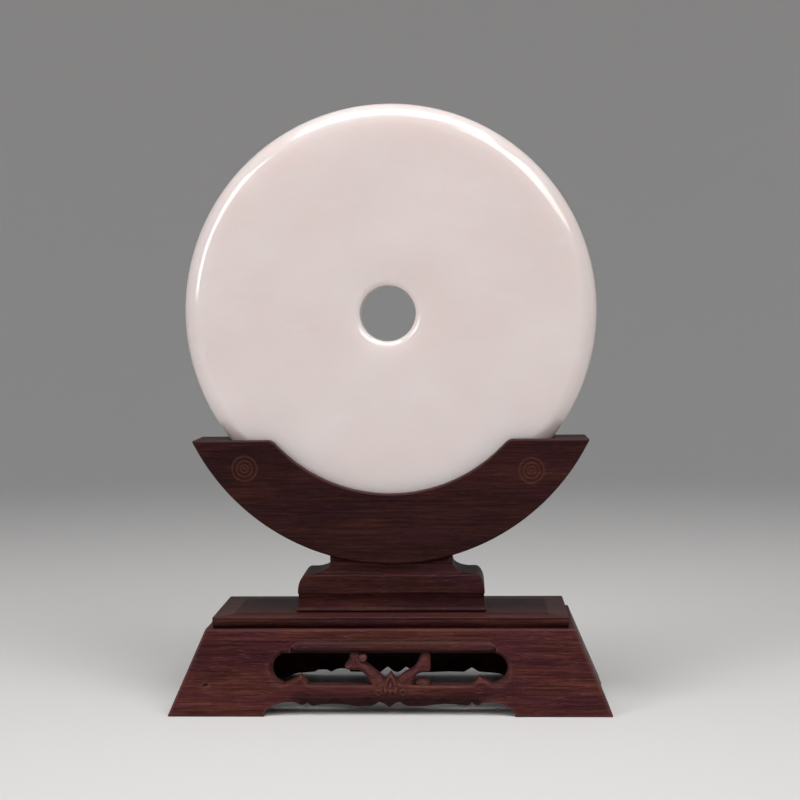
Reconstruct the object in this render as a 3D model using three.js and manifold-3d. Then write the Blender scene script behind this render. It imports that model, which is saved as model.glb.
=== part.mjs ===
// Round jade disc with a central hole, held upright in the groove of a crescent cradle
// on a moulded neck, a top board and a pierced, splayed base of dark hardwood.
// Millimetres, +Z up, front towards -Y. The origin is on the table under the middle.
import * as THREE from 'three';
import { mergeVertices } from 'three/addons/utils/BufferGeometryUtils.js';
import Module from 'manifold-3d';

const wasm = await Module();
wasm.setup();

// Clearance kept between neighbouring pieces.
const gap = 0.3;

// Disc: faces nearly flat, rim and hole rounded over.
const discRadius = 100;
const discThickness = 20;
const discCentreZ = 188.3;
const rimRoundInward = 8;
const rimRoundAcross = 8;
const boreRadius = 13.5;
const boreRound = 2.6;
const boreShiftX = -0.8;
const boreShiftZ = -1.1;
const discSegments = 84;

// Crescent cradle: one thick board, its ears cut off level.
const cradleThickness = 30;
const cradleRadius = 106.3;
const cradleCentreZ = 172.9;
const earTopZ = 126.6;
const earTipRound = 0.6;
const lipRadius = 75;
const lipCentreZ = 175.5;
const lipCornerRound = 2.6;

// Three carved rings round a dot on each ear, set out by hand.
const ringCentres = [[-70.2, 113.3], [67.6, 111.9]];
const ringRadii = [5.9, 3.75, 1.9];
const ringGrooveWidth = 1.1;
const ringGrooveDepth = 0.7;
const dotRadius = 0.7;

// Neck block between cradle and top board.
const neckWidths = { top: 29.6, ledge: 40.6, round: 45, waist: 44.5, foot: 45.6 };
const neckDepths = { top: 11.8, ledge: 14.2, round: 16.4, waist: 15.5, foot: 17.6 };
const neckLedgeZ = 61.8;
const neckRoundFootZ = 53;
const neckFlareZ = 47.8;
const neckCoveUp = 4.6;
const neckTopZ = 76;

// Top board with a stepped-in underside.
const boardHalfWidth = 84.6;
const boardHalfDepth = 29.5;
const boardTopZ = 44;
const boardEdgeZ = 40.5;
const boardStepIn = 1.6;
const boardArris = 0.9;

// Splayed base: front and back boards over the full width, end boards between them.
const baseTopZ = 38.5;
const baseTopHalfWidth = 87.4;
const baseTopHalfDepth = 32.5;
const baseFootHalfWidth = 103.7;
const baseFootHalfDepth = 45.8;
const apronThickness = 7;
const endThickness = 7;

// Long pierced window of the front and back boards.
const windowHalfLength = 55.2;
const windowBottomZ = 14.2;
const windowTopZ = 27.7;
const railDip = 0.5;

// Rolled bead above the window, and the thin rim round its ends.
const beadHalfLength = 47;
const beadZ = 30.9;
const beadRadius = 1.9;
const rimRadius = 0.8;
const rimOffset = 1.1;

// Leaf tips that stand on the lower rail.
const leafX = 41.6;
const leafTipZ = 18.1;
const leafHalfWidth = 4.6;

// Leaning scroll stems, palmette between their feet, a pearl on the left and a curl on the right.
const pearlX = 12.4;
const pearlZ = 25.6;
const pearlRadius = 1.7;
const curlX = 15.8;
const curlZ = 14.8;
const curlRadius = 2.9;
const palmetteX = 0.6;
const palmetteTipZ = 18.6;
const palmetteHalfWidth = 9.6;
const palmetteShoulderZ = 16.2;
const stemSetBack = 0.4;
const stemDepth = 5.8;

// Lower edge of the front and back boards: half widths, then the heights of each board's own edge.
const footTopX = 46;
const notchX = 38.5;
const notchHalfWidth = 3.2;
const swellX = 27;
const pendantShoulderX = 4.7;
const pendantOuterX = 9.2;
const frontEdge = {
  tip: 3.2, shoulder: 6.2, low: 4.1, swell: 5.1, notch: 5.9, footTop: 6.3, footInnerX: 58.4,
};
const backEdge = {
  tip: 2.3, shoulder: 5.5, low: 2.3, swell: 2.8, notch: 5.0, footTop: 2.6, footInnerX: 56,
};

// Plain arch under the end boards.
const endArchHalfWidth = 21;
const endArchZ = 5.5;

const jade = new THREE.MeshStandardMaterial({ color: 0xe6dcda, roughness: 0.12, metalness: 0 });
const darkWood = new THREE.MeshStandardMaterial({ color: 0x3a1f22, roughness: 0.45, metalness: 0 });

// A closed geometry as a solid that can be joined and cut.
function solid(geometry) {
  const bare = geometry.index ? geometry.toNonIndexed() : geometry.clone();
  bare.deleteAttribute('normal');
  bare.deleteAttribute('uv');
  const merged = mergeVertices(bare, 1e-4);
  const vertProperties = new Float32Array(merged.attributes.position.array);
  const triVerts = new Uint32Array(merged.index.array);
  return new wasm.Manifold(new wasm.Mesh({ numProp: 3, vertProperties, triVerts }));
}

// A solid as a named mesh with its own material.
function piece(name, shape, material) {
  const found = shape.getMesh();
  const geometry = new THREE.BufferGeometry();
  geometry.setAttribute('position', new THREE.BufferAttribute(found.vertProperties, 3));
  geometry.setIndex(new THREE.BufferAttribute(found.triVerts, 1));
  geometry.computeVertexNormals();
  const mesh = new THREE.Mesh(geometry, material.clone());
  mesh.name = name;
  return mesh;
}

// An outline in X and Z, given thickness from yFront backwards.
function plate(outline, yFront, thickness, curveSegments = 8) {
  const options = { depth: thickness, bevelEnabled: false, curveSegments };
  const geometry = new THREE.ExtrudeGeometry(outline, options);
  geometry.rotateX(Math.PI / 2);
  geometry.translate(0, yFront + thickness, 0);
  return geometry;
}

// An outline in Y and Z, given length from xStart towards +X.
function bar(outline, xStart, length, curveSegments = 8) {
  const options = { depth: length, bevelEnabled: false, curveSegments };
  const geometry = new THREE.ExtrudeGeometry(outline, options);
  geometry.rotateX(Math.PI / 2);
  geometry.rotateZ(Math.PI / 2);
  geometry.translate(xStart, 0, 0);
  return geometry;
}

// A shape symmetric about the Z axis, from the points of its right half, bottom to top. A point
// on the axis is its own mirror image.
function mirrored(rightHalf) {
  const left = rightHalf.filter(([across]) => across > 1e-6).map(([across, z]) => [-across, z]).reverse();
  return new THREE.Shape([...rightHalf, ...left].map(([across, z]) => new THREE.Vector2(across, z)));
}

// Points of a quarter of an ellipse about (x, z), from one angle to another.
function arcPoints(x, z, radiusX, radiusZ, from, to, count) {
  return Array.from({ length: count + 1 }, (_, i) => {
    const angle = from + ((to - from) * i) / count;
    return [x + radiusX * Math.cos(angle), z + radiusZ * Math.sin(angle)];
  });
}

function jadeDisc() {
  const half = discThickness / 2;
  const rimCentre = [discRadius - rimRoundInward, half - rimRoundAcross];
  const rim = arcPoints(...rimCentre, rimRoundInward, rimRoundAcross, 0, Math.PI / 2, 5);
  const upper = [...rim, [0, half]];
  const lower = upper.map(([radius, y]) => [radius, -y]).reverse();
  const profile = [...lower, ...upper].map(([radius, y]) => new THREE.Vector2(radius, y));
  const body = solid(new THREE.LatheGeometry(profile, discSegments));

  const reach = half + 1;
  const mouthCentre = [boreRadius + boreRound, half - boreRound];
  const flare = arcPoints(...mouthCentre, boreRound, boreRound, Math.PI, Math.PI / 2, 3);
  const throat = [[0, reach], [boreRadius + boreRound, reach], ...flare.reverse()];
  const spool = [...throat.map(([radius, y]) => [radius, -y]), ...throat.reverse()];
  const bore = new THREE.LatheGeometry(spool.map(([radius, y]) => new THREE.Vector2(radius, y)), 40);
  bore.translate(boreShiftX, 0, boreShiftZ);
  return body.subtract(solid(bore)).translate([0, 0, discCentreZ]);
}

function cradleOutline() {
  const tipAngle = Math.asin((cradleCentreZ - earTopZ) / cradleRadius);
  const tipTrim = earTipRound / cradleRadius;
  const tipX = cradleRadius * Math.cos(tipAngle);
  const lipAngle = Math.asin((lipCentreZ - earTopZ) / lipRadius);
  const lipTrim = lipCornerRound / lipRadius;
  const lipX = lipRadius * Math.cos(lipAngle);
  const shape = new THREE.Shape();
  shape.moveTo(tipX - earTipRound, earTopZ);
  shape.quadraticCurveTo(tipX, earTopZ, cradleRadius * Math.cos(tipAngle + tipTrim),
    cradleCentreZ - cradleRadius * Math.sin(tipAngle + tipTrim));
  shape.absarc(0, cradleCentreZ, cradleRadius, -(tipAngle + tipTrim), -Math.PI + tipAngle + tipTrim, true);
  shape.quadraticCurveTo(-tipX, earTopZ, -tipX + earTipRound, earTopZ);
  shape.lineTo(-lipX - lipCornerRound, earTopZ);
  shape.quadraticCurveTo(-lipX, earTopZ, -lipRadius * Math.cos(lipAngle + lipTrim),
    lipCentreZ - lipRadius * Math.sin(lipAngle + lipTrim));
  shape.absarc(0, lipCentreZ, lipRadius, -Math.PI + lipAngle + lipTrim, -(lipAngle + lipTrim), false);
  shape.quadraticCurveTo(lipX, earTopZ, lipX + lipCornerRound, earTopZ);
  shape.closePath();
  return shape;
}

// A V-shaped ring groove about the Y axis, its open side at y = 0 facing -Y.
function ringCutter(radius, segments) {
  const halfWidth = ringGrooveWidth / 2;
  const outside = -0.5;
  const profile = [
    [radius - halfWidth, outside], [radius + halfWidth, outside], [radius + halfWidth, 0],
    [radius, ringGrooveDepth], [radius - halfWidth, 0], [radius - halfWidth, outside],
  ];
  return new THREE.LatheGeometry(profile.map(([r, y]) => new THREE.Vector2(r, y)), segments);
}

function crescentCradle() {
  const half = cradleThickness / 2;
  let body = solid(plate(cradleOutline(), -half, cradleThickness, 36));

  const grooveRadius = (discRadius + gap) / Math.cos(Math.PI / discSegments);
  const grooveWidth = discThickness + 2 * gap;
  const groove = new THREE.CylinderGeometry(grooveRadius, grooveRadius, grooveWidth, discSegments);
  groove.translate(0, 0, discCentreZ);
  body = body.subtract(solid(groove));

  for (const [ringX, ringZ] of ringCentres) {
    for (const radius of ringRadii) {
      const cutter = ringCutter(radius, radius > 3 ? 22 : 12);
      cutter.translate(ringX, -half, ringZ);
      body = body.subtract(solid(cutter));
    }
    const dot = new THREE.SphereGeometry(dotRadius, 8, 6);
    dot.translate(ringX, -half, ringZ);
    body = body.subtract(solid(dot));
    const backRing = ringCutter(ringRadii[0], 22);
    backRing.rotateZ(Math.PI);
    backRing.translate(ringX, half, ringZ);
    body = body.subtract(solid(backRing));
  }
  return body;
}

// Half profile of the neck moulding: flared foot, waist, quarter-round, wide cove, upright.
function neckProfile({ top, ledge, round, waist, foot }) {
  const roundUp = neckLedgeZ - neckRoundFootZ;
  const coveAcross = ledge - 0.4 - top;
  return [
    [foot, boardTopZ + gap], [foot, boardTopZ + 1], [waist, neckFlareZ], [waist, neckRoundFootZ - 0.5],
    ...arcPoints(ledge, neckRoundFootZ, round - ledge, roundUp, 0, Math.PI / 2, 5),
    ...arcPoints(ledge - 0.4, neckLedgeZ + neckCoveUp, coveAcross, neckCoveUp, -Math.PI / 2, -Math.PI, 5),
    [top, neckTopZ],
  ];
}

function neckBlock() {
  const across = plate(mirrored(neckProfile(neckWidths)), -neckDepths.foot - 1,
    2 * neckDepths.foot + 2);
  const along = bar(mirrored(neckProfile(neckDepths)), -neckWidths.foot - 1,
    2 * neckWidths.foot + 2);
  const saddleSegments = 160;
  const saddleRadius = (cradleRadius + gap) / Math.cos(Math.PI / saddleSegments);
  const saddle = new THREE.CylinderGeometry(saddleRadius, saddleRadius, cradleThickness, saddleSegments);
  saddle.translate(0, 0, cradleCentreZ);
  return solid(across).intersect(solid(along)).subtract(solid(saddle));
}

function topBoard() {
  const profile = (half) => mirrored([
    [half - boardStepIn, baseTopZ + gap], [half - boardStepIn, boardEdgeZ], [half, boardEdgeZ],
    ...arcPoints(half - boardArris, boardTopZ - boardArris, boardArris, boardArris, 0, Math.PI / 2, 2),
  ]);
  const across = plate(profile(boardHalfWidth), -boardHalfDepth - 1, 2 * boardHalfDepth + 2);
  const along = bar(profile(boardHalfDepth), -boardHalfWidth - 1, 2 * boardHalfWidth + 2);
  return solid(across).intersect(solid(along));
}

// Lower edge of a pierced board, from the middle to its right foot.
function apronEdge(edge) {
  return [
    [0, edge.tip], [pendantShoulderX, edge.shoulder], [pendantOuterX, edge.low],
    [pendantOuterX + 8, edge.low], [swellX, edge.swell], [notchX - notchHalfWidth, edge.low],
    [notchX, edge.notch], [notchX + notchHalfWidth, edge.low + 0.3], [footTopX, edge.footTop],
    ...arcPoints(footTopX, 0, edge.footInnerX - footTopX, edge.footTop, Math.PI / 2, 0, 5).slice(1),
  ];
}

function apronOutline(edge) {
  return mirrored([...apronEdge(edge), [baseFootHalfWidth, 0], [baseTopHalfWidth, baseTopZ]]);
}

function windowOutline() {
  const radius = (windowTopZ - windowBottomZ) / 2;
  const middle = (windowTopZ + windowBottomZ) / 2;
  const straight = windowHalfLength - radius;
  const end = arcPoints(straight, middle, radius, radius, -Math.PI / 2, Math.PI / 2, 10);
  const leaf = [
    [leafX - leafHalfWidth, windowBottomZ - railDip], [leafX - leafHalfWidth * 0.45, windowBottomZ + 1.4],
    [leafX, leafTipZ], [leafX + leafHalfWidth * 0.55, windowBottomZ + 1.6],
    [leafX + leafHalfWidth, windowBottomZ],
  ];
  return mirrored([...leaf, ...end.slice(1)]);
}

// One leaning stem: it hangs from the top of the window and narrows to its foot.
function stemOutline(side) {
  const shape = new THREE.Shape();
  const at = (x, z) => [side * x, z];
  shape.moveTo(...at(19, windowTopZ + 1));
  shape.quadraticCurveTo(...at(18.8, 25), ...at(20.6, 22.4));
  shape.quadraticCurveTo(...at(20.6, 20.1), ...at(18, 20));
  shape.quadraticCurveTo(...at(13, 20), ...at(10.4, 16.4));
  shape.lineTo(...at(9.6, windowBottomZ - 2));
  shape.lineTo(...at(2.4, windowBottomZ - 2));
  shape.lineTo(...at(3, 16.4));
  shape.quadraticCurveTo(...at(6.6, 20.4), ...at(9.4, 22.1));
  shape.quadraticCurveTo(...at(13.4, 24.6), ...at(14.6, windowTopZ + 1));
  shape.closePath();
  return shape;
}

// The palmette between the stems' feet: a low pointed leaf with a wide shoulder on each side.
function palmetteOutline() {
  const rootZ = windowBottomZ - 2;
  const shape = new THREE.Shape();
  shape.moveTo(palmetteX - palmetteHalfWidth, rootZ);
  shape.lineTo(palmetteX + palmetteHalfWidth, rootZ);
  shape.lineTo(palmetteX + palmetteHalfWidth / 3, palmetteShoulderZ);
  shape.quadraticCurveTo(palmetteX + 1.6, palmetteShoulderZ + 0.8, palmetteX, palmetteTipZ);
  shape.quadraticCurveTo(palmetteX - 1.6, palmetteShoulderZ + 0.8,
    palmetteX - palmetteHalfWidth / 3, palmetteShoulderZ);
  shape.closePath();
  return shape;
}

// A round section carried along a route that lies in the face of the board.
function roll(route, radius, steps) {
  const section = new THREE.Shape(
    arcPoints(0, 0, radius, radius, 0, 2 * Math.PI, 8).slice(0, 8).map(([x, z]) => new THREE.Vector2(x, z)),
  );
  return new THREE.ExtrudeGeometry(section, { steps, extrudePath: route, bevelEnabled: false });
}

function beadRoute() {
  const middle = (windowTopZ + windowBottomZ) / 2;
  const radius = (windowTopZ - windowBottomZ) / 2 + rimOffset;
  const straight = windowHalfLength - (windowTopZ - windowBottomZ) / 2;
  const end = arcPoints(straight, middle, radius, radius, Math.PI / 2, -Math.PI / 3, 8);
  return end.map(([x, z]) => new THREE.Vector3(x, 0, z));
}

// A pierced board with the given lower edge. It stands upright here, facing -Y, and is sheared
// to its lean at the end.
function piercedApron(edge) {
  let board = solid(plate(apronOutline(edge), 0, apronThickness));
  board = board.subtract(solid(plate(windowOutline(), -1, apronThickness + 2)));
  for (const side of [-1, 1]) {
    board = board.add(solid(plate(stemOutline(side), stemSetBack, stemDepth, 4)));
    const rim = new THREE.CatmullRomCurve3(beadRoute().map((p) => new THREE.Vector3(side * p.x, p.y, p.z)));
    board = board.add(solid(roll(rim, rimRadius, 14)));
  }
  const curl = new THREE.CylinderGeometry(curlRadius, curlRadius, stemDepth, 12);
  curl.translate(curlX, stemSetBack + stemDepth / 2, curlZ);
  board = board.add(solid(curl));
  const pearl = new THREE.CylinderGeometry(pearlRadius, pearlRadius, stemDepth, 10);
  pearl.translate(-pearlX, stemSetBack + stemDepth / 2, pearlZ);
  board = board.add(solid(pearl));
  board = board.add(solid(plate(palmetteOutline(), -0.2, stemDepth, 4)));
  const beadEnds = [-beadHalfLength, beadHalfLength].map((x) => new THREE.Vector3(x, 0.4, beadZ));
  board = board.add(solid(roll(new THREE.LineCurve3(...beadEnds), beadRadius, 1)));

  const lean = (baseFootHalfDepth - baseTopHalfDepth) / baseTopZ;
  return board.warp((vertex) => {
    vertex[1] += lean * vertex[2] - baseFootHalfDepth;
  });
}

function rightEndBoard() {
  const lean = (baseFootHalfDepth - baseTopHalfDepth) / baseTopZ;
  const slope = (baseFootHalfWidth - baseTopHalfWidth) / baseTopZ;
  const footHalf = baseFootHalfDepth - apronThickness - gap;
  const topHalf = footHalf - lean * baseTopZ;
  const arch = arcPoints(0, 0, endArchHalfWidth, endArchZ, Math.PI / 2, 0, 6);
  const outline = mirrored([...arch, [footHalf, 0], [topHalf, baseTopZ]]);
  const board = solid(bar(outline, -endThickness, endThickness));
  return board.warp((vertex) => {
    vertex[0] += baseFootHalfWidth - slope * vertex[2];
  });
}

const rightEnd = rightEndBoard();

const group = new THREE.Group();
group.add(
  piece('jade_disc', jadeDisc(), jade),
  piece('crescent_cradle', crescentCradle(), darkWood),
  piece('neck_block', neckBlock(), darkWood),
  piece('top_board', topBoard(), darkWood),
  piece('front_apron', piercedApron(frontEdge), darkWood),
  piece('back_apron', piercedApron(backEdge).mirror([0, 1, 0]), darkWood),
  piece('right_end_board', rightEnd, darkWood),
  piece('left_end_board', rightEnd.mirror([1, 0, 0]), darkWood),
);
export default group;
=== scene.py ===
"""Round jade disc in its carved hardwood stand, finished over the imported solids.

Metres, +Z up, front towards -Y. Sizes are written in millimetres and multiplied by MM.
"""
import math
import bpy
import bmesh
import numpy as np
from mathutils import Matrix, Vector


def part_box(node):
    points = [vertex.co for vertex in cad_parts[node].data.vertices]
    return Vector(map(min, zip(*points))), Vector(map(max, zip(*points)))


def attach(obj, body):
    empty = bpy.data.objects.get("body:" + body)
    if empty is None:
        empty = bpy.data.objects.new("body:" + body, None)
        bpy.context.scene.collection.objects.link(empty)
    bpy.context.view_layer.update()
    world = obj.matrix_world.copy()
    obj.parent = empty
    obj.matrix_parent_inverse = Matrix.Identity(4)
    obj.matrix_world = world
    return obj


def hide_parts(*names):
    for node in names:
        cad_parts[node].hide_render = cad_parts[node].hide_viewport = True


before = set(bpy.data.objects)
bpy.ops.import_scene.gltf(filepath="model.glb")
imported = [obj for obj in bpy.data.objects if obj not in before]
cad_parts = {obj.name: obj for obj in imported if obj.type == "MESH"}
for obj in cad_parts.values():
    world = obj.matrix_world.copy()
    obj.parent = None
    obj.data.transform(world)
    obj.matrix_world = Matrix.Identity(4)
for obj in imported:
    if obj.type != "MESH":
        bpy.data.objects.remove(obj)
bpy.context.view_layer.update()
MM = 0.001

# Camera: it stands 0.78 m in front, a little right of the middle and just under the height of
# the disc's centre, turned slightly left and down, with a long lens.
camera_place = Vector((38.2, -778.7, 183.0)) * MM
camera_turn = 0.0433
camera_dip = 0.0488
camera_roll = -0.0092
camera_lens = 72.03
ahead = Vector((-math.sin(camera_turn) * math.cos(camera_dip),
                math.cos(camera_turn) * math.cos(camera_dip), -math.sin(camera_dip)))
level = Vector((math.cos(camera_turn), math.sin(camera_turn), 0))
upright = level.cross(ahead)
camera_right = math.cos(camera_roll) * level + math.sin(camera_roll) * upright
camera_up = math.cos(camera_roll) * upright - math.sin(camera_roll) * level
camera_data = bpy.data.cameras.new("camera")
camera_data.lens = camera_lens
camera_data.sensor_width = 36
camera = bpy.data.objects.new("camera", camera_data)
camera.matrix_world = Matrix.Translation(camera_place) @ Matrix(
    (camera_right, camera_up, -ahead)).transposed().to_4x4()
bpy.context.scene.collection.objects.link(camera)
bpy.context.scene.camera = camera

# Jade disc: one slab of white, faintly pink stone, turned round, drilled in the middle and
# polished. Its faces are all but flat and dip softly to the hole, whose mouths are rounded; the
# rim rolls over from face to face. It stands loose in the groove of the cradle.
disc_low, disc_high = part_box("jade_disc")
disc_radius = (disc_high.x - disc_low.x) / 2
disc_half = (disc_high.y - disc_low.y) / 2
disc_centre = (disc_low + disc_high) / 2
rim_inward = 8.4 * MM
bore_radius = 13.5 * MM
bore_round = 2.9 * MM
bore_shift = Vector((-0.8, 0, -1.1)) * MM
face_crown = 0.25 * MM
bore_dip = 0.9 * MM
dip_reach = 9 * MM


def rolled_edge(inward, across, count, start=0.17):
    """A face rolling over into an edge: points (distance in from the edge, height), face first.

    The slope turns by the share start of a right angle almost at once and by the rest evenly;
    summed along the curve and stretched, it fits inward by across.
    """
    steps = 400
    u = np.linspace(0, 1, steps)
    slope = (start * (1 - np.exp(-u / 0.03)) + (1 - start) * u) * math.pi / 2
    reach = np.concatenate([[0], np.cumsum(np.cos(slope))])
    drop = np.concatenate([[0], np.cumsum(np.sin(slope))])
    pick = np.linspace(0, 1, count) ** 1.3 * steps
    reach = np.interp(pick, np.arange(steps + 1), reach / reach[-1])
    drop = np.interp(pick, np.arange(steps + 1), drop / drop[-1])
    return inward * (1 - reach), across * (1 - drop)


def disc_profile():
    """Half profile of the disc from the middle of the bore to the middle of the rim.

    Rows of (radius, height, share of the bore's shift): bore wall, rounded mouth, crowned
    face, rolled rim. Heights shrink towards the bore, by a share that fades with the radius.
    """
    mouth_in, mouth_up = rolled_edge(bore_round, bore_round, 16)
    wall = np.linspace(0, disc_half - bore_round, 6)[:-1]
    rim_in, rim_up = rolled_edge(rim_inward, disc_half - face_crown, 40)
    clear = 0.3 * MM
    face_end = disc_radius - rim_inward
    face = np.linspace(bore_radius + bore_round + clear, face_end - clear, 30)
    share = (face - bore_radius) / (disc_radius - bore_radius)
    crown = disc_half - face_crown * np.clip(share, 0, 1) ** 3
    radius = np.concatenate([np.full(5, bore_radius), (bore_radius + mouth_in)[::-1], face,
                             disc_radius - rim_in])
    height = np.concatenate([wall, (disc_half - bore_round + mouth_up)[::-1], crown, rim_up])
    height *= 1 - bore_dip / disc_half * np.exp(-(radius - bore_radius) / dip_reach)
    shift = np.clip((face_end - radius) / (face_end - bore_radius), 0, 1)
    return radius, height, shift


def turned_disc(around=256):
    """Grid of the disc: each profile point goes round a circle, whose centre is the disc's at
    the rim and slides to the bore's further in."""
    radius, height, shift = disc_profile()
    radius = np.concatenate([radius, radius[-2::-1]])[:-1]
    height = np.concatenate([height, -height[-2::-1]])[:-1]
    shift = np.concatenate([shift, shift[-2::-1]])[:-1]
    angle = np.linspace(0, 2 * math.pi, around, endpoint=False)
    grid = np.empty((len(radius), around, 3))
    grid[..., 0] = disc_centre.x + shift[:, None] * bore_shift.x + radius[:, None] * np.cos(angle)
    grid[..., 1] = disc_centre.y - height[:, None]
    grid[..., 2] = disc_centre.z + shift[:, None] * bore_shift.z + radius[:, None] * np.sin(angle)
    return grid


def grid_faces(along, around, ring=False):
    """Quads of a grid that closes around; as a ring it closes along as well."""
    row = np.arange(along if ring else along - 1)[:, None]
    column = np.arange(around)[None, :]
    low, high = row * around, (row + 1) % along * around
    left, right = column, (column + 1) % around
    return np.stack([low + left, low + right, high + right, high + left], -1).reshape(-1, 4)


def piece_from(name, points, faces, **attributes):
    """A smooth mesh object from points in metres and a list of faces.

    The faces are turned together so that the enclosed volume, a sum of tetrahedra to the
    origin, is positive. Named attributes hold one number for each point.
    """
    points = np.asarray(points, float).reshape(-1, 3)
    fans = np.concatenate([np.stack([f[:, 0], f[:, i], f[:, i + 1]], 1)
                           for f in faces for i in range(1, f.shape[1] - 1)])
    a, b, c = (points[fans[:, i]] for i in range(3))
    if np.einsum("ij,ij->", a, np.cross(b, c)) < 0:
        faces = [f[:, ::-1] for f in faces]
    mesh = bpy.data.meshes.new(name)
    mesh.from_pydata(points, [], [corner for f in faces for corner in f.tolist()])
    mesh.polygons.foreach_set("use_smooth", np.ones(len(mesh.polygons), bool))
    for attribute, values in attributes.items():
        made = mesh.attributes.new(attribute, "FLOAT", "POINT")
        made.data.foreach_set("value", np.asarray(values, np.float32).ravel())
    mesh.update()
    piece = bpy.data.objects.new(name, mesh)
    bpy.context.scene.collection.objects.link(piece)
    return piece


class Strand:
    """One output of a material's nodes: sums on it add Math nodes, node() adds any other."""

    def __init__(self, tree, socket):
        self.tree = tree
        self.socket = socket

    def node(self, kind, inputs, output=0, stops=None, **settings):
        """A node with its settings and ramp stops made first, then its sockets filled."""
        made = self.tree.nodes.new(kind)
        for setting, value in settings.items():
            setattr(made, setting, value)
        if stops:
            places = made.color_ramp.elements
            for place, _ in stops[1:-1]:
                places.new(place)
            for element, (place, colour) in zip(places, stops):
                element.position = place
                element.color = (*colour, 1)
        for key, value in inputs.items():
            if isinstance(value, Strand):
                self.tree.links.new(value.socket, made.inputs[key])
            else:
                made.inputs[key].default_value = value
        return Strand(self.tree, made.outputs[output])

    def sum(self, operation, first, second):
        """The Math node of that operation on two values."""
        return self.node("ShaderNodeMath", {0: first, 1: second}, operation=operation)

    def __add__(self, other):
        return self.sum("ADD", self, other)

    def __sub__(self, other):
        return self.sum("SUBTRACT", self, other)

    def __mul__(self, other):
        return self.sum("MULTIPLY", self, other)

    def __radd__(self, other):
        return self.sum("ADD", other, self)

    def __rsub__(self, other):
        return self.sum("SUBTRACT", other, self)

    def __rmul__(self, other):
        return self.sum("MULTIPLY", other, self)

    def between(self, low, high):
        """0 where the value is under low, 1 over high, even in between."""
        return self.node("ShaderNodeMapRange", {"Value": self, "From Min": low, "From Max": high})

    def noise(self, size, detail=2.0, start=(0, 0, 0), roughness=0.5):
        """Noise on this vector whose blotches are size millimetres along X, Y and Z."""
        scaled = self.node("ShaderNodeMapping", {
            "Vector": self, "Location": start, "Scale": [1 / (s * MM) for s in size]})
        return self.node("ShaderNodeTexNoise", {
            "Vector": scaled, "Scale": 1.0, "Detail": detail, "Roughness": roughness})

    def mixed(self, colour, other):
        """colour where this mask is 0 and other where it is 1."""
        return self.node("ShaderNodeMix", {0: self, 6: colour, 7: other}, output=2, data_type="RGBA")


def open_material(name):
    """A new material and its Object coordinates."""
    material = bpy.data.materials.new(name)
    material.use_nodes = True
    tree = material.node_tree
    return material, Strand(tree, tree.nodes.new("ShaderNodeTexCoord").outputs["Object"])


def finish_material(material, place, **sockets):
    """Fills the shader's sockets: numbers and colours as they are, strands by a link."""
    shader = material.node_tree.nodes["Principled BSDF"]
    for name, value in sockets.items():
        socket = shader.inputs[name.replace("_", " ")]
        if isinstance(value, Strand):
            place.tree.links.new(value.socket, socket)
        else:
            socket.default_value = value
    return material


def jade_material():
    """Milky stone: faint pink and grey clouds, a few paler wisps, a clean polish."""
    material, place = open_material("polished_white_jade")
    clouds = place.noise((46, 40, 34), 3, (3, 1, 7))
    blush = place.noise((75, 60, 60), 1, (11, 4, 2))
    wisps = place.noise((30, 12, 9), 5, (5, 9, 1), 0.6).between(0.56, 0.75)
    milk = clouds.between(0.35, 0.68).mixed((0.780, 0.690, 0.672, 1), (0.815, 0.745, 0.730, 1))
    warm = (blush.between(0.45, 0.75) * 0.22).mixed(milk, (0.800, 0.670, 0.640, 1))
    stone = (wisps * 0.25).mixed(warm, (0.860, 0.810, 0.795, 1))
    polish = place.noise((60, 60, 60), 2).between(0.3, 0.8) * 0.03 + 0.075
    waves = place.noise((24, 24, 24), 1, (1, 2, 3))
    surface = place.node("ShaderNodeBump", {"Height": waves, "Strength": 0.02, "Distance": 0.5 * MM})
    return finish_material(
        material, place, Base_Color=stone, Roughness=polish, Normal=surface, IOR=1.8,
        Subsurface_Weight=0.85, Subsurface_Radius=(1.0, 0.72, 0.62), Subsurface_Scale=17 * MM)


disc_grid = turned_disc()
jade_disc = piece_from("polished_jade_disc", disc_grid, [grid_faces(*disc_grid.shape[:2], ring=True)])
jade_disc.data.materials.append(jade_material())
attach(jade_disc, "root")
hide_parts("jade_disc")

# Crescent cradle: one thick board of dark hardwood, sawn to two arcs, its ears cut level, its
# arrises eased. Along the arrises of the lip and ears it is painted a little paler, partly wear
# and partly painted highlight. A groove takes the disc's rim, and three rings round a dot are cut
# in each ear.
cradle_low, cradle_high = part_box("crescent_cradle")
cradle_half = (cradle_high.y - cradle_low.y) / 2
cradle_radius = 106.3 * MM
cradle_centre_z = cradle_low.z + cradle_radius
ear_top = cradle_high.z
lip_radius = 75.0 * MM
lip_centre_z = 175.5 * MM
lip_corner = 2.2 * MM
ear_tip_round = 0.6 * MM
cradle_arris = 1.0 * MM
groove_arris = 0.6 * MM
groove_radius = disc_radius + 0.3 * MM
groove_half = disc_half + 0.3 * MM
ring_places = ((-70.2 * MM, 113.3 * MM), (67.6 * MM, 111.9 * MM))
ring_radii = (5.9 * MM, 3.75 * MM, 1.9 * MM)
ring_width = 0.42 * MM
ring_depth = 0.5 * MM
dot_radius = 0.7 * MM


def tip_circle():
    """Centre (x, z) of the small circle that rounds an ear's tip.

    It touches the ear's level top and the outer arc from inside.
    """
    centre_z = ear_top - ear_tip_round
    reach = cradle_radius - ear_tip_round
    return math.sqrt(reach ** 2 - (cradle_centre_z - centre_z) ** 2), centre_z


tip_x, tip_z = tip_circle()
tip_touch_x = tip_x * cradle_radius / (cradle_radius - ear_tip_round)


def tip_half_height(x, inset):
    """Half the height of the tip's circle at x, lowered by inset."""
    return np.sqrt(np.clip(ear_tip_round ** 2 - np.clip(x - tip_x, 0, None) ** 2, 0, None)) - inset


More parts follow.
